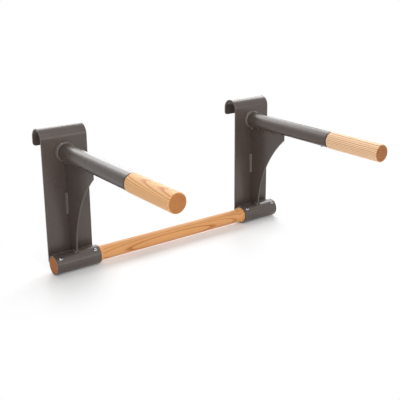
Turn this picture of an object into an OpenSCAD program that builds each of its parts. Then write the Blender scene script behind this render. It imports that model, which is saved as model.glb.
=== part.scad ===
// Pull-up and dip attachment for a wall ladder: two welded steel brackets joined by a wooden rod.
// X runs along the rod to the right, the arms point to -Y, Z is up.
// The origin is the centre of the rung that both hooks hang on, midway between the brackets.

/* [Overall] */
// Distance between the centre planes of the two brackets, mm
bracket_spacing = 540; // [420:2:640]
// Diameter of the rung that the hooks hang on, mm
rung_d = 38; // [34:1:42]

/* [Hook plates] */
// Width of each hook plate, mm
plate_w = 110; // [90:2:130]
// Thickness of the steel sheet, mm
sheet_t = 4; // [3:0.5:5]
// Gap between the rung and the inside of the hook, mm
rung_clearance = 0.25; // [0.15:0.05:0.45]
// Straight length of the hook's lip below the rung's centre, mm
lip_drop = 19; // [12:1:26]
// Radius of the lip's two lower corners, mm
lip_corner_r = 7; // [3:1:10]

/* [Arms and grips] */
// Outside diameter of the arm tube, mm
arm_od = 38; // [35:0.5:40]
// Wall of the arm tube, mm
arm_wall = 2.5; // [2:0.25:3]
// Distance of the arm's axis below the rung's axis, mm
arm_drop = 31.5; // [30:0.5:38]
// Length of the steel tube in front of the plate, mm
arm_tube_l = 289; // [240:1:340]
// Diameter of the wooden grip, mm
grip_d = 40; // [38:0.5:42]
// Visible length of the wooden grip, mm
grip_l = 151; // [120:1:170]
// Length of the grip's tenon inside the tube, mm
tenon_l = 60; // [45:5:80]
// Radius of the grip's rounded edge at the joint with the tube, mm
grip_joint_round = 2; // [1:0.25:2.5]
// Chamfer on the outer edge of the grip's end, mm
grip_chamfer = 1.5; // [0.5:0.5:3]

/* [Gussets] */
// Reach of the gusset along the arm, from the plate's front, mm
gusset_reach = 127; // [100:1:150]
// Height of the short upright edge at the gusset's tip, mm
gusset_tip_h = 15.5; // [10:0.5:24]
// Radius of the gusset's hollow front edge, mm
gusset_arc_r = 272; // [240:4:320]
// Depth of the gusset's foot in front of the plate, mm
gusset_foot = 31.5; // [26:0.5:36]

/* [Sleeves and rod] */
// Diameter of the wooden cross rod between the sleeves, mm
rod_d = 34; // [30:0.5:36]
// Diameter of the rod's thicker ends, which fill the sleeves, mm
rod_end_d = 40; // [38:0.5:42]
// How far each thick end stands out of the inner end of its sleeve, mm
rod_collar_l = 2; // [1:0.5:6]
// Length over which the rod swells to each thick end, mm
rod_shoulder_l = 9; // [4:1:16]
// Wall of the sleeve round the rod, mm
sleeve_wall = 2; // [1.5:0.25:3.5]
// Length of each sleeve, mm
sleeve_l = 110; // [90:2:132]
// Distance of the rod's axis below the rung's axis, mm
rod_drop = 282; // [260:1:300]
// Chamfer on both ends of the rod, mm
rod_chamfer = 1; // [0.5:0.5:2]

/* [Screws] */
// Diameter of the screw heads, mm
screw_head_d = 8; // [7:0.5:9]
// Diameter of the screw shanks, mm
screw_d = 4.2; // [3.5:0.1:4.8]
// Length of the rod screws under the head, mm
rod_screw_l = 20; // [16:1:24]
// Length of the grip screws under the head, mm
grip_screw_l = 16; // [12:1:20]
// Distance of the rod screws from the ends of the sleeve, mm
rod_screw_inset = 12; // [9:1:20]
// Angle of the rod screws above the front, degrees
rod_screw_angle = 50; // [35:5:60]
// Distance of the grip screw behind the joint of tube and grip, mm
grip_screw_inset = 28; // [18:2:34]

/* [Weld beads] */
// Size of the bead round the arm's root, mm
root_weld_leg = 6.5; // [5:0.5:7.5]
// Size of the beads that join the gusset to the arm and the sleeve, mm
gusset_weld_leg = 5; // [3.5:0.5:6]
// Size of the stitch beads between gusset and plate, mm
stitch_weld_leg = 6; // [4:0.5:7]
// Length of the stitch between gusset and plate, mm
stitch_l = 54; // [30:2:70]
// Distance of the stitch's middle below the rung's axis, mm
stitch_drop = 151; // [130:1:180]
// Length of each stitch between gusset and arm, mm
arm_stitch_l = 14; // [8:1:18]

/* [Hidden] */
$fn = 96;

// Gap left between a curved piece and what is fitted round it.
seat_gap = 0.08;
// Radial play of the tenon in the tube and of the rod in its sleeves.
slide_gap = 0.2;
// Radial play of a screw in the steel it passes through.
screw_play = 0.2;
// How far a blind screw hole goes on past the screw's tip.
hole_spare = 0.5;
// How far a cutting shape runs past the surface it cuts.
past = 1;

hook_in_r = rung_d / 2 + rung_clearance;
hook_out_r = hook_in_r + sheet_t;
front_y = -hook_out_r;

arm_r = arm_od / 2;
arm_z = -arm_drop;
arm_bore_r = arm_r - arm_wall;
arm_bottom_z = arm_z - arm_r;
joint_y = front_y - arm_tube_l;
grip_r = grip_d / 2;
tenon_r = arm_bore_r - slide_gap;
tenon_chamfer = 1.2;

rod_r = rod_d / 2;
rod_end_r = rod_end_d / 2;
sleeve_in_r = rod_end_r + slide_gap;
sleeve_out_r = sleeve_in_r + sleeve_wall;
// The sleeve lies against the front of the plate, whose lower edge is level with its axis.
rod_y = front_y - seat_gap - sleeve_out_r;
rod_z = -rod_drop;
rod_l = bracket_spacing + sleeve_l;
rod_end_l = sleeve_l + rod_collar_l;
shoulder_steps = 6;

tip_y = front_y - gusset_reach;
tip_low_z = arm_bottom_z - gusset_tip_h;
foot_y = front_y - gusset_foot;
arc_y = foot_y - gusset_arc_r;
arc_z = tip_low_z - sqrt(pow(gusset_arc_r, 2) - pow(tip_y - arc_y, 2));
// Quarter-round notch in the gusset's upper corner that clears the bead round the arm.
notch_play = 4;
notch_r = root_weld_leg + notch_play;

screw_r = screw_d / 2;
screw_head_r = screw_head_d / 2;
screw_head_h = 2.8;
screw_dome_r = 6.5;
screw_tip_l = 4;
screw_slot_w = 0.9;
screw_slot_l = 4.2;
screw_slot_depth = 1.5;
rod_screw_x = sleeve_l / 2 - rod_screw_inset;
grip_screw_y = joint_y + grip_screw_inset;

// Middles of the three stitches under the arm, as parts of the gusset's reach.
arm_stitches = [0.22, 0.44, 0.7];
// First and last angle of the foot bead round the sleeve, counted from the front.
foot_weld_from = 60;
foot_weld_to = 108;
// Bead in the valley between the plate's front and the sleeve: its round face has this radius,
// and its centre lies this far before the plate and above the rod's axis.
valley_weld_r = 6;
valley_weld_out = 3.5;
valley_weld_up = 12;
sleeve_weld_inset = 4;
sleeve_weld_l = min(plate_w, sleeve_l) - 2 * sleeve_weld_inset;
// How far a bead's round face bulges past a straight one: larger is flatter.
bead_flatness = 0.8;

steel = [0.29, 0.27, 0.26];
weld = [0.34, 0.32, 0.31];
grip_wood = [0.86, 0.68, 0.46];
rod_wood = [0.82, 0.60, 0.36];
zinc = [0.78, 0.79, 0.80];

// Puts an outline drawn in Y and Z into the model as a slab of width w centred on x = 0.
module slab(w) {
  translate([-w / 2, 0, 0])
    rotate([90, 0, 90])
      linear_extrude(height = w)
        children();
}

// Stands a body of revolution drawn along +Z on the bracket so that it points to -Y.
module along_arm(y) {
  translate([0, y, arm_z])
    rotate([90, 0, 0])
      children();
}

// Turns a body of revolution drawn along +Z so that it runs along the rod, centred on x = 0.
module along_rod() {
  translate([0, rod_y, rod_z])
    rotate([0, 90, 0])
      children();
}

// Quarter circle of radius e that rounds the edge at radius r, with its centre at height h.
function round_edge(r, e, h, first) =
  [for (a = [first : 15 : first + 90]) [r - e + e * cos(a), h + e * sin(a)]];

// Corner bead in section: two legs on the axes and a slightly round face.
module bead_section(leg) {
  k = leg * bead_flatness;
  intersection() {
    square([leg, leg]);
    translate([-k, -k])
      circle(r = sqrt(pow(leg + k, 2) + pow(k, 2)));
  }
}

// Places its child at each screw of one sleeve, with +Z pointing out of the sleeve.
module at_rod_screws() {
  for (side = [-1, 1])
    translate([side * rod_screw_x, rod_y, rod_z])
      rotate([90 - rod_screw_angle, 0, 0])
        children();
}

// Places its child at the grip screw, with +Z pointing down out of the tube.
module at_grip_screw() {
  translate([0, grip_screw_y, arm_z])
    rotate([180, 0, 0])
      children();
}

// Pan-head wood screw whose head sits at height seat_r above the local origin.
module pan_screw(seat_r, shank_l) {
  difference() {
    translate([0, 0, seat_r])
      rotate_extrude()
        difference() {
          polygon([
            [0, -shank_l],
            [screw_r, -(shank_l - screw_tip_l)],
            [screw_r, 0],
            [screw_head_r, 0],
            [screw_head_r, screw_head_h],
            [0, screw_head_h]
          ]);
          // Round the top of the head.
          difference() {
            square([screw_head_r + past, screw_head_h + past]);
            translate([0, screw_head_h - screw_dome_r])
              circle(r = screw_dome_r);
          }
        }
    translate([0, 0, seat_r + screw_head_h - screw_slot_depth])
      linear_extrude(height = screw_slot_depth + past)
        for (turn = [0, 90])
          rotate(turn)
            square([screw_slot_l, screw_slot_w], center = true);
  }
}

// Hole for a pan-head screw, drilled from seat_r down to the screw's tip.
module screw_hole(seat_r, shank_l, r) {
  translate([0, 0, seat_r - shank_l - hole_spare])
    cylinder(r = r, h = shank_l + hole_spare + past);
}

module hook_outline() {
  translate([front_y, rod_z])
    square([sheet_t, -rod_z]);
  translate([hook_in_r, -lip_drop])
    square([sheet_t, lip_drop]);
  difference() {
    circle(r = hook_out_r);
    circle(r = hook_in_r);
    translate([-hook_out_r - past, -hook_out_r - past])
      square([2 * (hook_out_r + past), hook_out_r + past]);
  }
}

module hook_plate() {
  difference() {
    slab(plate_w)
      hook_outline();
    // Round both lower corners of the lip.
    for (side = [-1, 1])
      translate([side * (plate_w / 2 - lip_corner_r), 0, lip_corner_r - lip_drop])
        difference() {
          translate([side > 0 ? 0 : -lip_corner_r - past, hook_in_r - past, -lip_corner_r - past])
            cube([lip_corner_r + past, sheet_t + 2 * past, lip_corner_r + past]);
          translate([0, hook_out_r + 2 * past, 0])
            rotate([90, 0, 0])
              cylinder(r = lip_corner_r, h = sheet_t + 4 * past);
        }
  }
}

module arm_tube() {
  difference() {
    along_arm(front_y)
      difference() {
        cylinder(r = arm_r, h = arm_tube_l);
        translate([0, 0, -past])
          cylinder(r = arm_bore_r, h = arm_tube_l + 2 * past);
      }
    at_grip_screw()
      screw_hole(arm_r, grip_screw_l, screw_r + screw_play);
  }
}

module grip() {
  difference() {
    along_arm(joint_y)
      rotate_extrude()
        polygon(concat(
          [
            [0, -tenon_l],
            [tenon_r - tenon_chamfer, -tenon_l],
            [tenon_r, -tenon_l + tenon_chamfer],
            [tenon_r, 0]
          ],
          round_edge(grip_r, grip_joint_round, grip_joint_round, -90),
          [
            [grip_r, grip_l - grip_chamfer],
            [grip_r - grip_chamfer, grip_l],
            [0, grip_l]
          ]
        ));
    at_grip_screw()
      screw_hole(arm_r, grip_screw_l, screw_r + seat_gap);
  }
}

module grip_screw() {
  at_grip_screw()
    pan_screw(arm_r, grip_screw_l);
}

module gusset() {
  difference() {
    slab(sheet_t)
      difference() {
        translate([tip_y, rod_z])
          square([front_y - tip_y, arm_bottom_z + sheet_t / 8 - rod_z]);
        translate([arc_y, arc_z])
          circle(r = gusset_arc_r, $fn = 4 * $fn);
        translate([rod_y, rod_z])
          circle(r = sleeve_out_r + seat_gap);
        translate([front_y, arm_bottom_z])
          circle(r = notch_r);
        valley_circle(valley_weld_r + seat_gap);
        translate([rod_y, rod_z])
          square([front_y - rod_y, valley_weld_up]);
      }
    along_arm(front_y + past)
      cylinder(r = arm_r + seat_gap, h = gusset_reach + 2 * past);
  }
}

module rod_sleeve() {
  difference() {
    along_rod()
      difference() {
        cylinder(r = sleeve_out_r, h = sleeve_l, center = true);
        cylinder(r = sleeve_in_r, h = sleeve_l + 2 * past, center = true);
      }
    at_rod_screws()
      screw_hole(sleeve_out_r, rod_screw_l, screw_r + screw_play);
  }
}

// Circle about the middle of the bead in the valley between plate and sleeve.
module valley_circle(r) {
  translate([front_y - valley_weld_out, rod_z + valley_weld_up])
    circle(r = r);
}

module rod_screws() {
  at_rod_screws()
    pan_screw(sleeve_out_r, rod_screw_l);
}

module arm_root_weld() {
  along_arm(front_y)
    rotate_extrude()
      translate([arm_r + seat_gap, 0])
        bead_section(root_weld_leg);
}

module gusset_plate_welds() {
  for (side = [0, 1])
    mirror([side, 0, 0])
      translate([sheet_t / 2, front_y, -stitch_drop - stitch_l / 2])
        mirror([0, 1, 0])
          linear_extrude(height = stitch_l)
            bead_section(stitch_weld_leg);
}

module gusset_arm_welds() {
  for (side = [0, 1])
    mirror([side, 0, 0])
      for (part = arm_stitches)
        translate([0, front_y - part * gusset_reach + arm_stitch_l / 2, 0])
          rotate([90, 0, 0])
            linear_extrude(height = arm_stitch_l)
              difference() {
                intersection() {
                  translate([sheet_t / 2, arm_bottom_z])
                    circle(r = gusset_weld_leg);
                  translate([sheet_t / 2, arm_bottom_z - gusset_weld_leg])
                    square([gusset_weld_leg, 2 * gusset_weld_leg]);
                }
                translate([0, arm_z])
                  circle(r = arm_r + seat_gap);
              }
}

module gusset_foot_welds() {
  for (side = [0, 1])
    mirror([side, 0, 0])
      translate([sheet_t / 2, rod_y, rod_z])
        rotate([0, 90, 0])
          rotate([0, 0, 180 + 90 - foot_weld_to])
            rotate_extrude(angle = foot_weld_to - foot_weld_from)
              translate([sleeve_out_r + seat_gap, 0])
                bead_section(gusset_weld_leg);
}

// One bead in the valley above the sleeve and one under the plate's lower edge, which stays
// in front of the plate's back.
module sleeve_welds() {
  slab(sleeve_weld_l)
    difference() {
      union() {
        intersection() {
          valley_circle(valley_weld_r);
          translate([rod_y, rod_z])
            square([front_y - rod_y, 2 * sleeve_out_r]);
        }
        translate([front_y, rod_z])
          intersection() {
            circle(r = sheet_t);
            translate([-sheet_t, -sheet_t])
              square([2 * sheet_t, sheet_t]);
          }
      }
      translate([rod_y, rod_z])
        circle(r = sleeve_out_r + seat_gap);
    }
}

// Soft shoulder from the rod's own radius up to the thick end, which starts at height h.
function soft_shoulder(h) =
  [for (i = [0 : shoulder_steps]) [
    rod_r + (rod_end_r - rod_r) * (1 - cos(180 * i / shoulder_steps)) / 2,
    h - rod_shoulder_l * (1 - i / shoulder_steps)
  ]];

// Outline that the rod is turned to: one half, and the same half mirrored.
module rod_outline() {
  half = concat(
    soft_shoulder(rod_l / 2 - rod_end_l),
    [
      [rod_end_r, rod_l / 2 - rod_chamfer],
      [rod_end_r - rod_chamfer, rod_l / 2],
      [0, rod_l / 2]
    ]
  );
  polygon(concat(half, [for (i = [len(half) - 1 : -1 : 0]) [half[i][0], -half[i][1]]]));
}

module cross_rod() {
  color(rod_wood)
    difference() {
      along_rod()
        rotate_extrude()
          rod_outline();
      for (side = [-1, 1])
        translate([side * bracket_spacing / 2, 0, 0])
          at_rod_screws()
            screw_hole(sleeve_out_r, rod_screw_l, screw_r + seat_gap);
    }
}

module on_left() {
  translate([-bracket_spacing / 2, 0, 0])
    children();
}

module on_right() {
  translate([bracket_spacing / 2, 0, 0])
    children();
}

module left_hook_plate() { color(steel) on_left() hook_plate(); }
module left_arm_tube() { color(steel) on_left() arm_tube(); }
module left_gusset() { color(steel) on_left() gusset(); }
module left_rod_sleeve() { color(steel) on_left() rod_sleeve(); }
module left_grip() { color(grip_wood) on_left() grip(); }
module left_grip_screw() { color(zinc) on_left() grip_screw(); }
module left_rod_screws() { color(zinc) on_left() rod_screws(); }
module left_arm_root_weld() { color(weld) on_left() arm_root_weld(); }
module left_gusset_plate_welds() { color(weld) on_left() gusset_plate_welds(); }
module left_gusset_arm_welds() { color(weld) on_left() gusset_arm_welds(); }
module left_gusset_foot_welds() { color(weld) on_left() gusset_foot_welds(); }
module left_sleeve_welds() { color(weld) on_left() sleeve_welds(); }

module right_hook_plate() { color(steel) on_right() hook_plate(); }
module right_arm_tube() { color(steel) on_right() arm_tube(); }
module right_gusset() { color(steel) on_right() gusset(); }
module right_rod_sleeve() { color(steel) on_right() rod_sleeve(); }
module right_grip() { color(grip_wood) on_right() grip(); }
module right_grip_screw() { color(zinc) on_right() grip_screw(); }
module right_rod_screws() { color(zinc) on_right() rod_screws(); }
module right_arm_root_weld() { color(weld) on_right() arm_root_weld(); }
module right_gusset_plate_welds() { color(weld) on_right() gusset_plate_welds(); }
module right_gusset_arm_welds() { color(weld) on_right() gusset_arm_welds(); }
module right_gusset_foot_welds() { color(weld) on_right() gusset_foot_welds(); }
module right_sleeve_welds() { color(weld) on_right() sleeve_welds(); }

left_hook_plate();
left_arm_tube();
left_gusset();
left_rod_sleeve();
left_grip();
left_grip_screw();
left_rod_screws();
left_arm_root_weld();
left_gusset_plate_welds();
left_gusset_arm_welds();
left_gusset_foot_welds();
left_sleeve_welds();
right_hook_plate();
right_arm_tube();
right_gusset();
right_rod_sleeve();
right_grip();
right_grip_screw();
right_rod_screws();
right_arm_root_weld();
right_gusset_plate_welds();
right_gusset_arm_welds();
right_gusset_foot_welds();
right_sleeve_welds();
cross_rod();
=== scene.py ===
"""Looks of a hook-on pull-up and dip bar: powder-coated steel brackets, turned wooden grips and rod."""

import math

import bmesh
import bpy
from mathutils import Matrix, Vector


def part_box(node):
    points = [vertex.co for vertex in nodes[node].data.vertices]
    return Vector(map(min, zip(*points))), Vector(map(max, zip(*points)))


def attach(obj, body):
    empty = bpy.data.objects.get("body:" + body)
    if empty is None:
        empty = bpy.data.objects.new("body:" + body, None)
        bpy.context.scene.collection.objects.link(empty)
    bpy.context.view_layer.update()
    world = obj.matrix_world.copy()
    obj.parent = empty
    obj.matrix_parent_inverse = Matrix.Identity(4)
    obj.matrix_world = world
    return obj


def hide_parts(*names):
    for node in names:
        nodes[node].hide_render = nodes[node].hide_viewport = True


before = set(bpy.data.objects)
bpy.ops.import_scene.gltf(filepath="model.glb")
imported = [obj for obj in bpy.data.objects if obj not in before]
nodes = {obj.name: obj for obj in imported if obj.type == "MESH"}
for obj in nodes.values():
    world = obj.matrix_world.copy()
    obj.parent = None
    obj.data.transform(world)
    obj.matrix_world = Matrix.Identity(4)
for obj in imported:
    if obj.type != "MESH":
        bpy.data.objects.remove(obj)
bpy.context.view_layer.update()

SIDES = ("left", "right")
MM = 0.001

# Places and sizes read from the solids, in metres. Both brackets are equal, so the left one gives them.
plate_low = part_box("left_hook_plate")[0]
tube_low, tube_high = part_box("left_arm_tube")
grip_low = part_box("left_grip")[0]
gusset_low, gusset_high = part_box("left_gusset")
rod_low, rod_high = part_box("cross_rod")
sleeve_low, sleeve_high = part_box("left_rod_sleeve")
ring_low, ring_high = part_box("left_arm_root_weld")

FRONT_Y = plate_low.y
FLOOR_Z = sleeve_low.z
ARM_X = (tube_high.x + tube_low.x) / 2
ARM_Z = (tube_high.z + tube_low.z) / 2
ARM_R = (tube_high.x - tube_low.x) / 2
BRACKET_X = {"left": ARM_X, "right": -ARM_X}
GUSSET_HALF = (gusset_high.x - gusset_low.x) / 2
ROOT_LEG = (ring_high.x - ring_low.x) / 2 - ARM_R
ROD_Y = (rod_high.y + rod_low.y) / 2
ROD_Z = (rod_high.z + rod_low.z) / 2
SLEEVE_R = (sleeve_high.z - sleeve_low.z) / 2


def srgb(red, green, blue):
    """A colour written as on a screen, 0 to 255, as the linear colour that shaders take."""
    def linear(value):
        value /= 255
        return value / 12.92 if value <= 0.04045 else ((value + 0.055) / 1.055) ** 2.4
    return (linear(red), linear(green), linear(blue), 1.0)


# Shader helpers

class Graph:
    """A node tree with short calls for the nodes that the finishes use."""

    def __init__(self, tree):
        self.tree = tree

    def node(self, kind, inputs=None, **settings):
        made = self.tree.nodes.new(kind)
        for name, value in settings.items():
            setattr(made, name, value)
        for name, value in (inputs or {}).items():
            self.feed(made.inputs[name], value)
        return made

    def feed(self, socket, value):
        """Links a socket, or sets it where the value is plain."""
        if isinstance(value, bpy.types.NodeSocket):
            self.tree.links.new(value, socket)
        else:
            socket.default_value = value

    def math(self, operation, a, b=0.0, c=0.0, clamp=False):
        made = self.node("ShaderNodeMath", {0: a, 1: b, 2: c}, operation=operation, use_clamp=clamp)
        return made.outputs[0]

    def vector(self, operation, a, b=(0, 0, 0), scale=1.0):
        made = self.node("ShaderNodeVectorMath", {0: a, 1: b, 3: scale}, operation=operation)
        return made.outputs[1 if operation in ("LENGTH", "DOT_PRODUCT") else 0]

    def part_of(self, vector, axis):
        """One coordinate of a vector, X, Y or Z."""
        return self.node("ShaderNodeSeparateXYZ", {"Vector": vector}).outputs[axis]

    def noise(self, vector, scale, detail, roughness):
        inputs = {"Vector": vector, "Scale": scale, "Detail": detail, "Roughness": roughness}
        return self.node("ShaderNodeTexNoise", inputs).outputs["Fac"]

    def stretched_noise(self, vector, stretch, detail, roughness):
        """Noise that is finer in some directions than in others, as grain is."""
        return self.noise(self.vector("MULTIPLY", vector, stretch), 1.0, detail, roughness)

    def spread(self, value, low, high, to_low=0.0, to_high=1.0, smooth=False):
        """Stretches a value from one range onto another, and holds it there."""
        inputs = {"Value": value, "From Min": low, "From Max": high, "To Min": to_low, "To Max": to_high}
        made = self.node("ShaderNodeMapRange", inputs, clamp=True)
        made.interpolation_type = "SMOOTHSTEP" if smooth else "LINEAR"
        return made.outputs["Result"]

    def mix(self, amount, a, b, blend="MIX"):
        made = self.node("ShaderNodeMix", data_type="RGBA", blend_type=blend)
        for index, value in ((0, amount), (6, a), (7, b)):
            self.feed(made.inputs[index], value)
        return made.outputs[2]

    def bump(self, strength, distance, height):
        inputs = {"Strength": strength, "Distance": distance, "Height": height}
        return self.node("ShaderNodeBump", inputs).outputs["Normal"]

    def group(self, group, inputs):
        made = self.node("ShaderNodeGroup", node_tree=group)
        for name, value in inputs.items():
            self.feed(made.inputs[name], value)
        return made.outputs


def new_group(name, inputs, outputs):
    """A shader node group with named float, colour or vector sockets. Returns its graph, what it is
    given and what it puts out."""
    tree = bpy.data.node_groups.new(name, "ShaderNodeTree")
    kinds = {"float": "NodeSocketFloat", "vector": "NodeSocketVector", "color": "NodeSocketColor"}
    for label, (kind, value) in inputs.items():
        socket = tree.interface.new_socket(label, in_out="INPUT", socket_type=kinds[kind])
        if value is not None:
            socket.default_value = value
    for label, kind in outputs.items():
        tree.interface.new_socket(label, in_out="OUTPUT", socket_type=kinds[kind])
    graph = Graph(tree)
    start = graph.node("NodeGroupInput")
    end = graph.node("NodeGroupOutput")
    return graph, start.outputs, end.inputs


def new_material(name):
    """An empty material. Returns it with its graph, its Principled shader and its object coordinates."""
    material = bpy.data.materials.new(name)
    material.use_nodes = True
    material.node_tree.nodes.clear()
    graph = Graph(material.node_tree)
    shader = graph.node("ShaderNodeBsdfPrincipled")
    graph.node("ShaderNodeOutputMaterial", {"Surface": shader.outputs["BSDF"]})
    place = graph.node("ShaderNodeTexCoord").outputs["Object"]
    return material, graph, shader, place


# Effects that several finishes share

PEEL_SCALE = 900.0
CLOUD_SCALE = 14.0
SPECK_FINER = 3.1
SPECK_SPAN = (0.62, 0.78)
# The detail and the roughness of each noise of the coat.
PEEL_NOISE = (3.0, 0.55)
CLOUD_NOISE = (4.0, 0.6)
SPECK_NOISE = (1.0, 0.5)
EDGE_SAMPLES = 6


def make_coat_grain():
    """The fine orange peel and the slight cloudiness of sprayed powder."""
    graph, given, end = new_group(
        "coat_grain",
        {
            "Vector": ("vector", None),
            "Peel Scale": ("float", PEEL_SCALE),
            "Cloud Scale": ("float", CLOUD_SCALE),
        },
        {"Peel": "float", "Cloud": "float", "Speck": "float"},
    )
    place = given["Vector"]
    speck_scale = graph.math("MULTIPLY", given["Peel Scale"], SPECK_FINER)
    speck = graph.noise(place, speck_scale, *SPECK_NOISE)
    graph.feed(end["Peel"], graph.noise(place, given["Peel Scale"], *PEEL_NOISE))
    graph.feed(end["Cloud"], graph.noise(place, given["Cloud Scale"], *CLOUD_NOISE))
    graph.feed(end["Speck"], graph.spread(speck, *SPECK_SPAN))
    return graph.tree


def make_edge_mask():
    """How near a point lies to an edge: 1 on the edge, 0 on the flat. It carries the coat's paler edges,
    partly thinner powder and partly painted highlight, and the painted shadow round a screw head's rim.
    """
    graph, given, end = new_group(
        "edge_mask", {"Radius": ("float", 1.2 * MM), "Gain": ("float", 5.0)}, {"Edge": "float"}
    )
    rounded = graph.node("ShaderNodeBevel", {"Radius": given["Radius"]}, samples=EDGE_SAMPLES)
    true_normal = graph.node("ShaderNodeNewGeometry").outputs["Normal"]
    facing = graph.vector("DOT_PRODUCT", rounded.outputs["Normal"], true_normal)
    turned = graph.math("SUBTRACT", 1.0, facing)
    graph.feed(end["Edge"], graph.math("MULTIPLY", turned, given["Gain"], clamp=True))
    return graph.tree


# Each noise of the wood: how fine it is, twice across the grain and once along it, its detail and roughness.
DRIFT_NOISE = (22, 22, 3.2), 3.0, 0.5
SHIVER_NOISE = (170, 170, 9), 2.0, 0.5
FIBRE_NOISE = (2600, 2600, 45), 3.0, 0.6
PORE_NOISE = (3600, 3600, 130), 1.0, 0.5
# How far the rings wander by the slow drift and by the quick shiver, in multiples of Wander.
DRIFT_REACH = 4.0
SHIVER_REACH = 0.45
# Where in a ring its dark line is full, where it begins to end, and how strong a noise makes a pore.
LINE_FULL = 0.9
LINE_ENDS = 0.93
PORE_SPAN = (0.64, 0.74)


def heart_line(graph, given):
    """Where the tree's heart runs beside the piece, at each place along it."""
    along = graph.part_of(given["Vector"], "Z")
    lean = graph.vector("SCALE", given["Lean"], scale=along)
    bow = graph.vector("SCALE", given["Bow"], scale=graph.math("MULTIPLY", along, along))
    return graph.vector("ADD", graph.vector("ADD", given["Pith"], lean), bow)


def ring_count(graph, given):
    """How many rings lie between the tree's heart and a place."""
    place = given["Vector"]
    from_heart = graph.vector("SUBTRACT", place, heart_line(graph, given))
    reach = graph.vector("LENGTH", graph.vector("MULTIPLY", from_heart, (1, 1, 0)))
    for noise, times in ((DRIFT_NOISE, DRIFT_REACH), (SHIVER_NOISE, SHIVER_REACH)):
        shift = graph.math("SUBTRACT", graph.stretched_noise(place, *noise), 0.5)
        reach = graph.math("MULTIPLY_ADD", shift, graph.math("MULTIPLY", given["Wander"], times), reach)
    return graph.math("DIVIDE", reach, given["Ring Width"])


def make_wood_rings():
    """Growth rings of a tree, cut by a turned piece whose grain runs along Z. Pith is where the tree's
    heart lies beside the piece, Lean how far the heart comes nearer along it, and Bow how much it bends."""
    graph, given, end = new_group(
        "wood_rings",
        {
            "Vector": ("vector", None),
            "Pith": ("vector", (0.07, 0.0, 0.0)),
            "Lean": ("vector", (0.0, 0.0, 0.0)),
            "Bow": ("vector", (0.0, 0.0, 0.0)),
            "Ring Width": ("float", 2.8 * MM),
            "Line Start": ("float", 0.5),
            "Wander": ("float", 1.5 * MM),
        },
        {"Late": "float", "Ring Tone": "float", "Fibre": "float", "Pore": "float"},
    )
    count = ring_count(graph, given)
    share = graph.math("FRACT", count)
    rise = graph.spread(share, given["Line Start"], LINE_FULL, smooth=True)
    fall = graph.spread(share, LINE_ENDS, 1.0, 1.0, 0.0, smooth=True)
    number = graph.math("FLOOR", count)
    tone = graph.node("ShaderNodeTexWhiteNoise", {"W": number}, noise_dimensions="1D").outputs["Value"]
    pore = graph.stretched_noise(given["Vector"], *PORE_NOISE)
    graph.feed(end["Late"], graph.math("MULTIPLY", rise, fall))
    graph.feed(end["Ring Tone"], tone)
    graph.feed(end["Fibre"], graph.stretched_noise(given["Vector"], *FIBRE_NOISE))
    graph.feed(end["Pore"], graph.spread(pore, *PORE_SPAN))
    return graph.tree


COAT_GRAIN = make_coat_grain()
EDGE_MASK = make_edge_mask()
WOOD_RINGS = make_wood_rings()


# Powder coat

COAT_COLOUR = srgb(75, 65, 60)
COAT_PALE = srgb(85, 75, 69)
# The paler tone of specks, and of edges, where it is partly painted highlight.
COAT_EDGE = srgb(120, 107, 100)
COAT_IOR = 1.49
COAT_ROUGHNESS = 0.26
BEAD_ROUGHNESS = 0.16
SPECK_TINT = 0.12
EDGE_TINT = 0.5
EDGE_RADIUS = 1.0 * MM
CLOUD_SPAN = (0.3, 0.7)
# What the clouds and the peel add to the roughness.
CLOUD_DULLNESS = 0.02
PEEL_DULLNESS = 0.05
PEEL_BUMP = 0.08
COAT_PEEL = 0.035 * MM
BEAD_PEEL = 0.06 * MM
# How quickly an edge turns pale, partly thinner powder and partly painted highlight, which on the beads
# lights the ripples: on sheet and tube, on the sleeves and on the beads.
COAT_EDGE_GAIN = 5.0
SLEEVE_EDGE_GAIN = 0.5
BEAD_EDGE_GAIN = 2.0
# Painted shade of the gap where a tube's end meets the wood, dark and dull: it is full up to the first
# distance and gone at the second.
SEAM_SHADE_COLOUR = srgb(34, 22, 18)
SEAM_SHADE_SPAN = (2.6 * MM, 4.0 * MM)
SEAM_SHADE_DULLNESS = 0.6


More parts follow.
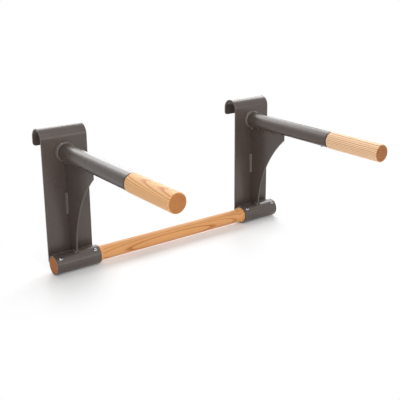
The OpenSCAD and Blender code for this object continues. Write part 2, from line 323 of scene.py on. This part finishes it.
def powder_coat(name, peel=COAT_PEEL, roughness=COAT_ROUGHNESS, edge_gain=COAT_EDGE_GAIN, seam=None):
    """Warm dark grey powder on steel, satin, with a fine peel and slightly lighter edges, partly thinner
    powder and partly painted highlight. peel is the peel's depth, and seam the place along Y of a tube's
    end, where the gap at the joint with the wood is painted in as a dark line of shade."""
    material, graph, shader, place = new_material(name)
    grain = graph.group(
        COAT_GRAIN, {"Vector": place, "Peel Scale": PEEL_SCALE, "Cloud Scale": CLOUD_SCALE}
    )
    edge = graph.group(EDGE_MASK, {"Radius": EDGE_RADIUS, "Gain": edge_gain})["Edge"]
    colour = graph.mix(grain["Cloud"], COAT_COLOUR, COAT_PALE)
    colour = graph.mix(graph.math("MULTIPLY", grain["Speck"], SPECK_TINT), colour, COAT_EDGE)
    # Paler edges: partly thinner powder, partly a painted highlight.
    colour = graph.mix(graph.math("MULTIPLY", edge, EDGE_TINT), colour, COAT_EDGE)
    bright, dull = roughness - CLOUD_DULLNESS, roughness + CLOUD_DULLNESS
    dullness = graph.spread(grain["Cloud"], *CLOUD_SPAN, bright, dull)
    dullness = graph.math("MULTIPLY_ADD", grain["Peel"], PEEL_DULLNESS, dullness)
    if seam is not None:
        # Painted shade of the gap at the tube's end, where it meets the wood.
        from_end = graph.math("SUBTRACT", graph.part_of(place, "Y"), seam)
        line = graph.spread(from_end, *SEAM_SHADE_SPAN, 1.0, 0.0, smooth=True)
        colour = graph.mix(line, colour, SEAM_SHADE_COLOUR)
        dullness = graph.math("MULTIPLY_ADD", line, SEAM_SHADE_DULLNESS, dullness)
    shader.inputs["IOR"].default_value = COAT_IOR
    graph.feed(shader.inputs["Base Color"], colour)
    graph.feed(shader.inputs["Roughness"], dullness)
    graph.feed(shader.inputs["Normal"], graph.bump(PEEL_BUMP, peel, grain["Peel"]))
    return material


# Lacquered wood

# How each piece lay in its tree: the axis along its grain, the side that looks away from the tree's heart,
# how far off the heart is, how it leans and bows, and its rings, lines and colours.
LEFT_GRIP_TIMBER = {
    "axis": "y", "facing_cut": (-0.29, 0, 0.96), "heart_away": 0.075, "lean": 0.043, "bow": 0.0,
    "ring_width": 2.7 * MM, "line_start": 0.48, "wander": 0.5 * MM,
    "pale": srgb(251, 203, 146), "dark": srgb(194, 102, 40), "deep": srgb(154, 86, 40),
    "end_tone": srgb(186, 163, 134),
}
RIGHT_GRIP_TIMBER = {
    "axis": "y", "facing_cut": (0.21, 0, 0.98), "heart_away": 0.05, "lean": 0.004, "bow": 0.0,
    "ring_width": 3.4 * MM, "line_start": 0.48, "wander": 0.25 * MM,
    "pale": srgb(254, 218, 176), "dark": srgb(172, 90, 38), "deep": srgb(152, 86, 44),
    "end_tone": srgb(171, 140, 105),
}
ROD_TIMBER = {
    "axis": "x", "facing_cut": (0, -0.99, -0.14), "heart_away": 0.05725, "lean": 0.0, "bow": 0.18,
    "ring_width": 4.5 * MM, "line_start": 0.66, "wander": 0.3 * MM,
    "pale": srgb(219, 160, 102), "dark": srgb(182, 110, 50), "deep": srgb(160, 96, 48),
    "end_tone": srgb(210, 180, 146),
}
# The place along the rod where the tree's heart is farthest off.
ROD_BOW_X = -0.015

AXES = {"x": (1, 0, 0), "y": (0, 1, 0)}
TURN_TO_Z = {"x": (0, math.radians(-90), 0), "y": (math.radians(90), 0, 0)}
FAINTEST_RING = 0.55
STREAK_SPAN = (0.35, 0.72)
STREAK_TINT = 0.20
PORE_TINT = 0.35
END_SPAN = (0.55, 0.95)
END_DULLNESS = 0.18
BLOTCH_NOISE = (85.0, 3.0, 0.6)
BLOTCH_SPAN = (0.35, 0.65)
BLOTCH_TINT = 0.22
# Painted shade of the gap at the joint with the tube: its colour, and the distances from the joint over
# which it fades.
GAP_SHADE_COLOUR = srgb(70, 44, 30)
GAP_SHADE_SPAN = (0.9 * MM, 1.5 * MM)
LACQUER_IOR = 1.38
EARLY_ROUGHNESS = 0.55
LATE_ROUGHNESS = 0.48
WOOD_BUMP = 0.45
WOOD_RELIEF = 0.08 * MM
RAISED_GRAIN = 0.6
SUNK_PORES = 0.8


def away_from_heart(timber):
    """The side that looks away from the tree's heart, in the wood's own directions."""
    side = Vector(timber["facing_cut"]).normalized()
    if timber["axis"] == "y":
        return Vector((side.x, -side.z, 0))
    return Vector((-side.z, side.y, 0))


def cut_rings(graph, place, centre, timber):
    """The growth rings as they meet the turned piece, whose grain is laid along Z."""
    centred = graph.vector("SUBTRACT", place, centre)
    turn = TURN_TO_Z[timber["axis"]]
    laid = graph.node("ShaderNodeMapping", {"Vector": centred, "Rotation": turn}).outputs["Vector"]
    side = away_from_heart(timber)
    return graph.group(WOOD_RINGS, {
        "Vector": laid,
        "Pith": side * -timber["heart_away"],
        "Lean": side * timber["lean"],
        "Bow": side * timber["bow"],
        "Ring Width": timber["ring_width"],
        "Line Start": timber["line_start"],
        "Wander": timber["wander"],
    })


def long_grain_colour(graph, rings, timber):
    """Pale wood with darker lines of late growth, fine streaks and pores."""
    weight = graph.spread(rings["Ring Tone"], 0.0, 1.0, FAINTEST_RING, 1.0)
    colour = graph.mix(graph.math("MULTIPLY", rings["Late"], weight), timber["pale"], timber["dark"])
    streak = graph.spread(rings["Fibre"], *STREAK_SPAN, 0.0, STREAK_TINT)
    colour = graph.mix(streak, colour, timber["dark"])
    return graph.mix(graph.math("MULTIPLY", rings["Pore"], PORE_TINT), colour, timber["deep"])


def end_grain_share(graph, axis):
    """1 on the ends of the wood and 0 on its round side."""
    normal = graph.node("ShaderNodeNewGeometry").outputs["Normal"]
    facing = graph.math("ABSOLUTE", graph.vector("DOT_PRODUCT", normal, AXES[axis]))
    return graph.spread(facing, *END_SPAN, smooth=True)


def end_grain_colour(graph, place, colour, timber):
    """End grain, which takes in more lacquer, so that it is darker and a little blotched."""
    blotch = graph.spread(graph.noise(place, *BLOTCH_NOISE), *BLOTCH_SPAN, 0.0, BLOTCH_TINT)
    return graph.mix(1.0, graph.mix(blotch, colour, timber["dark"]), timber["end_tone"], "MULTIPLY")


def turned_wood(name, centre, timber, joint=None):
    """Lacquered wood turned from solid stock. The round form cuts through the rings, so that arches show on
    the side that looks away from the heart, fine lines beside it, and arcs on the ends. joint is the place
    along Y where the gap at the tube's end is painted in as a dark line of shade."""
    material, graph, shader, place = new_material(name)
    rings = cut_rings(graph, place, centre, timber)
    ends = end_grain_share(graph, timber["axis"])
    colour = long_grain_colour(graph, rings, timber)
    colour = graph.mix(ends, colour, end_grain_colour(graph, place, colour, timber))
    if joint is not None:
        # Painted shade of the gap where the wood meets the tube's end.
        off_joint = graph.math("SUBTRACT", joint, graph.part_of(place, "Y"))
        gap_shade = graph.spread(off_joint, *GAP_SHADE_SPAN, 1.0, 0.0, smooth=True)
        colour = graph.mix(gap_shade, colour, GAP_SHADE_COLOUR)
    dullness = graph.spread(rings["Late"], 0.0, 1.0, EARLY_ROUGHNESS, LATE_ROUGHNESS)
    fibres = graph.math("MULTIPLY", rings["Fibre"], RAISED_GRAIN)
    relief = graph.math("MULTIPLY_ADD", rings["Late"], RAISED_GRAIN, fibres)
    relief = graph.math("SUBTRACT", relief, graph.math("MULTIPLY", rings["Pore"], SUNK_PORES))
    shader.inputs["IOR"].default_value = LACQUER_IOR
    graph.feed(shader.inputs["Base Color"], colour)
    graph.feed(shader.inputs["Roughness"], graph.math("MULTIPLY_ADD", ends, END_DULLNESS, dullness))
    graph.feed(shader.inputs["Normal"], graph.bump(WOOD_BUMP, WOOD_RELIEF, relief))
    return material


# Zinc plate

ZINC_DULL = srgb(132, 134, 138)
ZINC_BRIGHT = srgb(164, 166, 170)
ZINC_RIM_SHADE = srgb(62, 60, 60)
ZINC_PATCH_NOISE = (420.0, 3.0, 0.6)
ZINC_PATCH_SPAN = (0.3, 0.7)
ZINC_ROUGHNESS = (0.16, 0.26)
RIM_SHADE_RADIUS = 0.9 * MM
RIM_SHADE_GAIN = 3.0
TURNING_NOISE = (4000, 900, 900), 2.0, 0.5
TURNING_BUMP = 0.2
TURNING_DEPTH = 0.03 * MM


def bright_zinc(name):
    """Zinc plate on a screw's head, with fine turning marks, a little dullness in patches and a painted
    shadow round the rim of the head.
    """
    material, graph, shader, place = new_material(name)
    patch = graph.noise(place, *ZINC_PATCH_NOISE)
    # Painted shadow round the rim of the head, where it sits on the coat.
    rim = graph.group(EDGE_MASK, {"Radius": RIM_SHADE_RADIUS, "Gain": RIM_SHADE_GAIN})["Edge"]
    colour = graph.mix(rim, graph.mix(patch, ZINC_DULL, ZINC_BRIGHT), ZINC_RIM_SHADE)
    marks = graph.stretched_noise(place, *TURNING_NOISE)
    shader.inputs["Metallic"].default_value = 1.0
    graph.feed(shader.inputs["Base Color"], colour)
    graph.feed(shader.inputs["Roughness"], graph.spread(patch, *ZINC_PATCH_SPAN, *ZINC_ROUGHNESS))
    graph.feed(shader.inputs["Normal"], graph.bump(TURNING_BUMP, TURNING_DEPTH, marks))
    return material


COAT = powder_coat("powder_coat")
# The arm tubes carry the painted shade of the gap at their joint with the wood.
TUBE_COAT = powder_coat("tube_coat", seam=tube_low.y)
SLEEVE_COAT = powder_coat("sleeve_coat", edge_gain=SLEEVE_EDGE_GAIN)
BEAD_COAT = powder_coat("coated_weld", BEAD_PEEL, BEAD_ROUGHNESS, BEAD_EDGE_GAIN)
ZINC = bright_zinc("bright_zinc")


# Geometry helpers

SHARP_ANGLE = math.radians(35)
FLAT_ANGLE = math.radians(0.4)
JOIN_WITHIN = 0.002 * MM
SPOTS_PER_METRE = 1e6
ROUNDING_STEPS = 3


def make_smooth_by_angle():
    """A modifier's node tree that smooths faces and keeps the sharp edges sharp."""
    tree = bpy.data.node_groups.new("smooth_by_angle", "GeometryNodeTree")
    tree.interface.new_socket("Geometry", in_out="INPUT", socket_type="NodeSocketGeometry")
    tree.interface.new_socket("Geometry", in_out="OUTPUT", socket_type="NodeSocketGeometry")
    graph = Graph(tree)
    start = graph.node("NodeGroupInput")
    faces = graph.node("GeometryNodeSetShadeSmooth", {"Geometry": start.outputs[0], "Shade Smooth": True})
    angle = graph.node("GeometryNodeInputMeshEdgeAngle").outputs["Unsigned Angle"]
    soft = graph.node("FunctionNodeCompare", {0: angle, 1: SHARP_ANGLE}, operation="LESS_THAN")
    choice = {"Geometry": faces.outputs[0], "Shade Smooth": soft.outputs[0]}
    edges = graph.node("GeometryNodeSetShadeSmooth", choice, domain="EDGE")
    graph.node("NodeGroupOutput", {0: edges.outputs[0]})
    return tree


SMOOTH_BY_ANGLE = make_smooth_by_angle()


def soften(piece, radius):
    """Rounds a piece's edges by modifiers, and keeps its flats flat in the shading."""
    weld = piece.modifiers.new("join_faces", "WELD")
    weld.merge_threshold = JOIN_WITHIN
    flats = piece.modifiers.new("plain_flats", "DECIMATE")
    flats.decimate_type = "DISSOLVE"
    flats.angle_limit = FLAT_ANGLE
    rounding = piece.modifiers.new("rounded_edges", "BEVEL")
    rounding.width = radius
    rounding.segments = ROUNDING_STEPS
    rounding.limit_method = "ANGLE"
    rounding.angle_limit = SHARP_ANGLE
    smooth = piece.modifiers.new("smooth_faces", "NODES")
    smooth.node_group = SMOOTH_BY_ANGLE
    weighted = piece.modifiers.new("flat_shading", "WEIGHTED_NORMAL")
    weighted.keep_sharp = True


def finish_node(name, material, radius):
    """Gives a solid of the model its material, and its edges their radius."""
    piece = nodes[name]
    piece.data.materials.clear()
    piece.data.materials.append(material)
    soften(piece, radius)


def new_piece(name, mesh_build, material, slot, *replaced):
    """Makes a piece from a bmesh and lets it stand for solids of the model."""
    mesh = bpy.data.meshes.new(name)
    bmesh.ops.recalc_face_normals(mesh_build, faces=mesh_build.faces)
    mesh_build.to_mesh(mesh)
    mesh_build.free()
    mesh.polygons.foreach_set("use_smooth", [True] * len(mesh.polygons))
    mesh.materials.append(material)
    piece = bpy.data.objects.new(name, mesh)
    bpy.context.scene.collection.objects.link(piece)
    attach(piece, "root")
    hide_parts(*replaced)


def shared_spots(mesh):
    """The corners of a mesh by their rounded place, and the rounded places round each face."""
    keys = [tuple(round(c * SPOTS_PER_METRE) for c in vertex.co) for vertex in mesh.vertices]
    spots = dict(zip(keys, (vertex.co.copy() for vertex in mesh.vertices)))
    return spots, [[keys[i] for i in polygon.vertices] for polygon in mesh.polygons]


def solids_of(name):
    """The boxes of the separate solids in one node, as pairs of corners."""
    spots, faces = shared_spots(nodes[name].data)
    owner = {key: key for key in spots}

    def root(key):
        while owner[key] != key:
            key = owner[key]
        return key

    for first, *others in faces:
        for key in others:
            owner[root(key)] = root(first)
    found = {}
    for key, spot in spots.items():
        low, high = found.setdefault(root(key), (spot.copy(), spot.copy()))
        for axis in range(3):
            low[axis] = min(low[axis], spot[axis])
            high[axis] = max(high[axis], spot[axis])
    return sorted(found.values(), key=lambda box: tuple(box[0]))


# Weld beads

BEAD_SLOT = "coated_weld"
RIPPLE_PITCH = 3.0 * MM
RIPPLE_DEPTH = 0.17
# How far the middle of a ripple runs ahead of its ends, in ripples.
RIPPLE_LEAD = 0.55
# A bead's face lies between flat, 0, and a quarter circle, 1.
BEAD_ROUNDNESS = 0.45
BEAD_SINK = 0.35 * MM
BEAD_TAPER = 2.6 * MM
STEPS_PER_RIPPLE = 7
SECTION_STEPS = 9
# A sleeve's bead that reaches this far above the rod's axis lies in the valley, and its leg on the plate is
# this share of its height.
VALLEY_ABOVE = 1.0 * MM
VALLEY_LEG = 0.9


def ripple(turns):
    """Height of one scale of a bead: full at its leading edge, falling in a curve to the next scale."""
    share = turns % 1.0
    return math.sqrt(1.0 - share * share)


def bead_section(corner, leg_a, leg_b, size, turns):
    """The points across a bead at one place: its root, sunk into the corner, and its face."""
    inward = (leg_a + leg_b) * -BEAD_SINK
    row = [corner + inward]
    for j in range(SECTION_STEPS + 1):
        across = j / SECTION_STEPS
        angle = across * math.pi / 2
        lead = RIPPLE_LEAD * (1.0 - (2.0 * across - 1.0) ** 2)
        scale = 1.0 - RIPPLE_DEPTH + RIPPLE_DEPTH * ripple(turns + lead)
        chord = 1.0 / (math.cos(angle) + math.sin(angle))
        reach = size * scale * (chord + (1.0 - chord) * BEAD_ROUNDNESS)
        point = corner + leg_a * (reach * math.cos(angle)) + leg_b * (reach * math.sin(angle))
        if j in (0, SECTION_STEPS):
            point += inward
        row.append(point)
    return row


def skin(build, rows, closed):
    """Covers rows of points with faces, round into a ring or with a cap on each end."""
    rows = [[build.verts.new(point) for point in row] for row in rows]
    pairs = list(zip(rows, rows[1:]))
    if closed:
        pairs.append((rows[-1], rows[0]))
    for row, following in pairs:
        for j in range(len(row)):
            k = (j + 1) % len(row)
            build.faces.new((row[j], row[k], following[k], following[j]))
    if not closed:
        build.faces.new(rows[0])
        build.faces.new(reversed(rows[-1]))


def add_bead(build, corner_at, length, leg, closed=False):
    """Sweeps a rippled corner bead. corner_at(s) gives the corner at a distance s along the seam and the
    two directions in which the bead's legs lie on the metal."""
    ripples = max(2, round(length / RIPPLE_PITCH))
    stations = ripples * STEPS_PER_RIPPLE
    rows = []
    for i in range(stations + (0 if closed else 1)):
        s = length * i / stations
        near_end = 1.0 if closed else min(1.0, min(s, length - s) / BEAD_TAPER)
        grown = math.sqrt(max(0.0, 1.0 - (1.0 - near_end) ** 2))
        rows.append(bead_section(*corner_at(s), leg * grown, ripples * i / stations))
    skin(build, rows, closed)


def outward_of(side, low, high):
    """On which side of its gusset a bead lies: 1 towards +X, -1 towards -X."""
    return math.copysign(1.0, (low.x + high.x) / 2 - BRACKET_X[side])


def root_bead(side):
    """The bead all round the foot of an arm."""
    build = bmesh.new()
    centre = Vector((BRACKET_X[side], FRONT_Y, ARM_Z))
    length = 2 * math.pi * (ARM_R + ROOT_LEG / 2)

    def corner_at(s):
        angle = 2 * math.pi * s / length
        outward = Vector((math.cos(angle), 0, math.sin(angle)))
        return centre + outward * ARM_R, outward, Vector((0, -1, 0))

    add_bead(build, corner_at, length, ROOT_LEG, closed=True)
    new_piece(f"{side}_root_bead", build, BEAD_COAT, BEAD_SLOT, f"{side}_arm_root_weld")


def stitch_beads(side):
    """The stitches between the gusset and the plate, one on each side of the gusset."""
    node = f"{side}_gusset_plate_welds"
    build = bmesh.new()
    for low, high in solids_of(node):
        outward = outward_of(side, low, high)
        x = BRACKET_X[side] + outward * GUSSET_HALF
        z = low.z

        def corner_at(s):
            return Vector((x, FRONT_Y, z + s)), Vector((outward, 0, 0)), Vector((0, -1, 0))

        add_bead(build, corner_at, high.z - low.z, high.x - low.x)
    new_piece(f"{side}_stitch_beads", build, BEAD_COAT, BEAD_SLOT, node)


def under_arm_beads(side):
    """The short stitches between the gusset and the underside of the arm."""
    node = f"{side}_gusset_arm_welds"
    build = bmesh.new()
    for low, high in solids_of(node):
        outward = outward_of(side, low, high)
        leg = high.x - low.x
        far = GUSSET_HALF + leg
        near_z = ARM_Z - math.sqrt(ARM_R ** 2 - GUSSET_HALF ** 2)
        far_z = ARM_Z - math.sqrt(ARM_R ** 2 - far ** 2)
        along_tube = Vector((outward * leg, 0, far_z - near_z)).normalized()
        start = Vector((BRACKET_X[side] + outward * GUSSET_HALF, high.y, near_z))

        def corner_at(s):
            return start - Vector((0, s, 0)), along_tube, Vector((0, 0, -1))

        add_bead(build, corner_at, high.y - low.y, leg)
    new_piece(f"{side}_under_arm_beads", build, BEAD_COAT, BEAD_SLOT, node)


def foot_beads(side):
    """The beads on both sides of the gusset's foot, bent over the sleeve."""
    node = f"{side}_gusset_foot_welds"
    build = bmesh.new()
    for low, high in solids_of(node):
        outward = outward_of(side, low, high)
        leg = high.x - low.x
        x = BRACKET_X[side] + outward * GUSSET_HALF
        first = math.acos(min(1.0, (ROD_Y - low.y) / (SLEEVE_R + leg)))
        last = math.acos(max(-1.0, (ROD_Y - high.y) / (SLEEVE_R + leg)))

        def corner_at(s):
            angle = first + s / SLEEVE_R
            up = Vector((0, -math.cos(angle), math.sin(angle)))
            return Vector((x, ROD_Y, ROD_Z)) + up * SLEEVE_R, Vector((outward, 0, 0)), up

        add_bead(build, corner_at, (last - first) * SLEEVE_R, leg)
    new_piece(f"{side}_foot_beads", build, BEAD_COAT, BEAD_SLOT, node)


def sleeve_beads(side):
    """The long beads between sleeve and plate: in the valley above it and under the plate's edge."""
    node = f"{side}_sleeve_welds"
    build = bmesh.new()
    for low, high in solids_of(node):
        leg = high.z - low.z
        if high.z > ROD_Z + VALLEY_ABOVE:
            corner = Vector((low.x, FRONT_Y, low.z))
            legs = Vector((0, (low.y - FRONT_Y) / leg, 1)), Vector((0, 0, VALLEY_LEG))
        else:
            corner = Vector((low.x, FRONT_Y, high.z))
            legs = Vector((0, 1, 0)), Vector((0, 0, -1))

        def corner_at(s):
            return corner + Vector((s, 0, 0)), *legs

        add_bead(build, corner_at, high.x - low.x, leg)
    new_piece(f"{side}_sleeve_beads", build, SLEEVE_COAT, BEAD_SLOT, node)


# The object

PLATE_ROUNDING = 0.5 * MM
GUSSET_ROUNDING = 0.45 * MM
TUBE_ROUNDING = 0.3 * MM
SLEEVE_ROUNDING = 0.45 * MM
SCREW_ROUNDING = 0.12 * MM
GRIP_ROUNDING = 0.5 * MM
ROD_ROUNDING = 0.4 * MM


def dress_bracket(side):
    """Finishes one bracket's steel, its screws and its beads."""
    finish_node(f"{side}_hook_plate", COAT, PLATE_ROUNDING)
    finish_node(f"{side}_gusset", COAT, GUSSET_ROUNDING)
    finish_node(f"{side}_arm_tube", TUBE_COAT, TUBE_ROUNDING)
    finish_node(f"{side}_rod_sleeve", SLEEVE_COAT, SLEEVE_ROUNDING)
    finish_node(f"{side}_rod_screws", ZINC, SCREW_ROUNDING)
    finish_node(f"{side}_grip_screw", ZINC, SCREW_ROUNDING)
    root_bead(side)
    stitch_beads(side)
    under_arm_beads(side)
    foot_beads(side)
    sleeve_beads(side)


def dress_wood():
    """Finishes the two grips and the cross rod, each from its own piece of timber."""
    grip_y = (tube_low.y + grip_low.y) / 2
    for side, timber in (("left", LEFT_GRIP_TIMBER), ("right", RIGHT_GRIP_TIMBER)):
        # joint places the painted shade of the gap at the tube's end on the grip.
        wood = turned_wood(f"{side}_grip_wood", (BRACKET_X[side], grip_y, ARM_Z), timber, joint=tube_low.y)
        finish_node(f"{side}_grip", wood, GRIP_ROUNDING)
    wood = turned_wood("cross_rod_wood", (ROD_BOW_X, ROD_Y, ROD_Z), ROD_TIMBER)
    finish_node("cross_rod", wood, ROD_ROUNDING)


# The stage

WHITE = (1.0, 1.0, 1.0, 1.0)
# How strongly the white surround lights the object.
WORLD_LIGHT = 0.16
FLOOR_SIZE = 16.0
FLOOR_COLOUR = (0.93, 0.93, 0.93, 1.0)
FLOOR_ROUGHNESS = 0.45
FLOOR_SPECULAR = 0.25
# The floor's plain white: its share at the sleeves, and the distances between which the share grows to 1.
FLOOR_LIFT = 0.10
CLEAR_SPAN = (0.03, 0.25)


def any_ray(graph, *kinds):
    """1 for rays of the given kinds, and 0 for the others."""
    rays = graph.node("ShaderNodeLightPath").outputs
    share = rays[kinds[0]]
    for kind in kinds[1:]:
        share = graph.math("MAXIMUM", share, rays[kind])
    return share


def off_sleeve_line(graph, place):
    """How far a point of the floor lies from the line on which the sleeves stand."""
    beyond = graph.math("SUBTRACT", graph.math("ABSOLUTE", graph.part_of(place, "X")), rod_high.x)
    past_end = graph.math("MAXIMUM", beyond, 0.0)
    beside = graph.math("SUBTRACT", graph.part_of(place, "Y"), ROD_Y)
    squared = graph.math("MULTIPLY_ADD", past_end, past_end, graph.math("MULTIPLY", beside, beside))
    return graph.math("SQRT", squared)


def floor_white():
    """White that keeps the shadow where the object stands and fades to plain white round it."""
    material, graph, shader, place = new_material("floor_white")
    shader.inputs["Base Color"].default_value = FLOOR_COLOUR
    shader.inputs["Roughness"].default_value = FLOOR_ROUGHNESS
    shader.inputs["Specular IOR Level"].default_value = FLOOR_SPECULAR
    glow = graph.node("ShaderNodeEmission", {"Color": WHITE, "Strength": 1.0})
    clear = graph.spread(off_sleeve_line(graph, place), *CLEAR_SPAN, FLOOR_LIFT, 1.0, smooth=True)
    share = graph.math("MULTIPLY", clear, any_ray(graph, "Is Camera Ray", "Is Glossy Ray"))
    blend = graph.node("ShaderNodeMixShader", {0: share, 1: shader.outputs["BSDF"], 2: glow.outputs[0]})
    output = next(n for n in graph.tree.nodes if n.type == "OUTPUT_MATERIAL")
    graph.feed(output.inputs["Surface"], blend.outputs[0])
    return material


def make_floor():
    """A plain white floor, level with the underside of the sleeves."""
    build = bmesh.new()
    half = FLOOR_SIZE / 2
    spots = (-half, -half), (half, -half), (half, half), (-half, half)
    build.faces.new([build.verts.new((x, y, FLOOR_Z)) for x, y in spots])
    mesh = bpy.data.meshes.new("floor")
    build.to_mesh(mesh)
    build.free()
    mesh.materials.append(floor_white())
    floor = bpy.data.objects.new("floor", mesh)
    bpy.context.scene.collection.objects.link(floor)


def make_world():
    """A white surround: 1 where it is seen or mirrored, and lower where it lights."""
    world = bpy.data.worlds.new("white_surround")
    bpy.context.scene.world = world
    world.use_nodes = True
    world.node_tree.nodes.clear()
    graph = Graph(world.node_tree)
    seen = any_ray(graph, "Is Camera Ray", "Is Glossy Ray", "Is Transmission Ray")
    strength = graph.spread(seen, 0.0, 1.0, WORLD_LIGHT, 1.0)
    background = graph.node("ShaderNodeBackground", {"Color": WHITE, "Strength": strength})
    graph.node("ShaderNodeOutputWorld", {"Surface": background.outputs[0]})


# Each softbox: its azimuth from +Y towards +X and its elevation in degrees, its width and height in metres,
# and its brightness. All stand at the same distance from the point that they face.
SOFTBOXES = {
    "back_left_softbox": (-30, 38, 1.1, 1.1, 1.2),
    "back_softbox": (0, 38, 1.1, 1.1, 4.4),
    "back_right_softbox": (30, 38, 1.1, 1.1, 2.8),
    "side_softbox": (60, 38, 1.1, 1.1, 5.6),
    "low_back_softbox": (30, 15, 1.35, 1.1, 3.3),
    "low_side_softbox": (90, 15, 1.35, 1.1, 3.9),
    "low_front_softbox": (-150, 15, 1.35, 1.1, 4.3),
    "front_softbox": (180, 51, 1.05, 2.3, 2.6),
    "high_left_softbox": (-129, 46, 0.5, 0.5, 12.0),
    "low_right_strip": (155, 12, 1.2, 0.35, 4.0),
}
LAMP_DISTANCE = 2.6
LOOK_AT = Vector((0.0, -0.15, -0.1))


def make_softboxes():
    """Area lamps that stand for the studio's softboxes."""
    for name, (azimuth, elevation, width, height, brightness) in SOFTBOXES.items():
        turn, rise = math.radians(azimuth), math.radians(elevation)
        level = math.cos(rise)
        towards = Vector((math.sin(turn) * level, math.cos(turn) * level, math.sin(rise)))
        data = bpy.data.lights.new(name, "AREA")
        data.shape = "RECTANGLE"
        data.size = width
        data.size_y = height
        data.energy = brightness * math.pi * width * height
        lamp = bpy.data.objects.new(name, data)
        lamp.location = LOOK_AT + towards * LAMP_DISTANCE
        lamp.rotation_mode = "QUATERNION"
        lamp.rotation_quaternion = towards.to_track_quat("Z", "Y")
        bpy.context.scene.collection.objects.link(lamp)


# The photograph's camera: its place, its heading from +Y towards +X, its tilt down and its roll, and in the
# photograph's pixels its focal length and the point that it looks straight at.
FRAME_PX = 400
CAMERA_AT = Vector((-0.9333, -1.4418, 0.3797))
CAMERA_YAW = math.radians(37.3)
CAMERA_PITCH = math.radians(15.74)
CAMERA_ROLL = math.radians(-0.14)
FOCAL_PX = 715.78
CENTRE_PX = (215, 160)
SENSOR_MM = 36
CLIP_NEAR = 0.05
CLIP_FAR = 60.0


def camera_turn():
    """The camera's directions to the right, up and back, as a rotation."""
    ahead = Vector((
        math.sin(CAMERA_YAW) * math.cos(CAMERA_PITCH),
        math.cos(CAMERA_YAW) * math.cos(CAMERA_PITCH),
        -math.sin(CAMERA_PITCH),
    ))
    level = Vector((math.cos(CAMERA_YAW), -math.sin(CAMERA_YAW), 0.0))
    upright = level.cross(ahead)
    right = level * math.cos(CAMERA_ROLL) + upright * math.sin(CAMERA_ROLL)
    up = upright * math.cos(CAMERA_ROLL) - level * math.sin(CAMERA_ROLL)
    return Matrix((right, up, -ahead)).transposed()


def make_camera():
    """The photograph's viewpoint."""
    data = bpy.data.cameras.new("camera")
    data.sensor_width = SENSOR_MM
    data.lens = FOCAL_PX / FRAME_PX * SENSOR_MM
    data.shift_x = (FRAME_PX / 2 - CENTRE_PX[0]) / FRAME_PX
    data.shift_y = (CENTRE_PX[1] - FRAME_PX / 2) / FRAME_PX
    data.clip_start = CLIP_NEAR
    data.clip_end = CLIP_FAR
    camera = bpy.data.objects.new("camera", data)
    camera.matrix_world = Matrix.Translation(CAMERA_AT) @ camera_turn().to_4x4()
    bpy.context.scene.collection.objects.link(camera)
    bpy.context.scene.camera = camera


for bracket in SIDES:
    dress_bracket(bracket)
dress_wood()
make_floor()
make_world()
make_softboxes()
make_camera()
bpy.context.scene.view_settings.view_transform = "Standard"
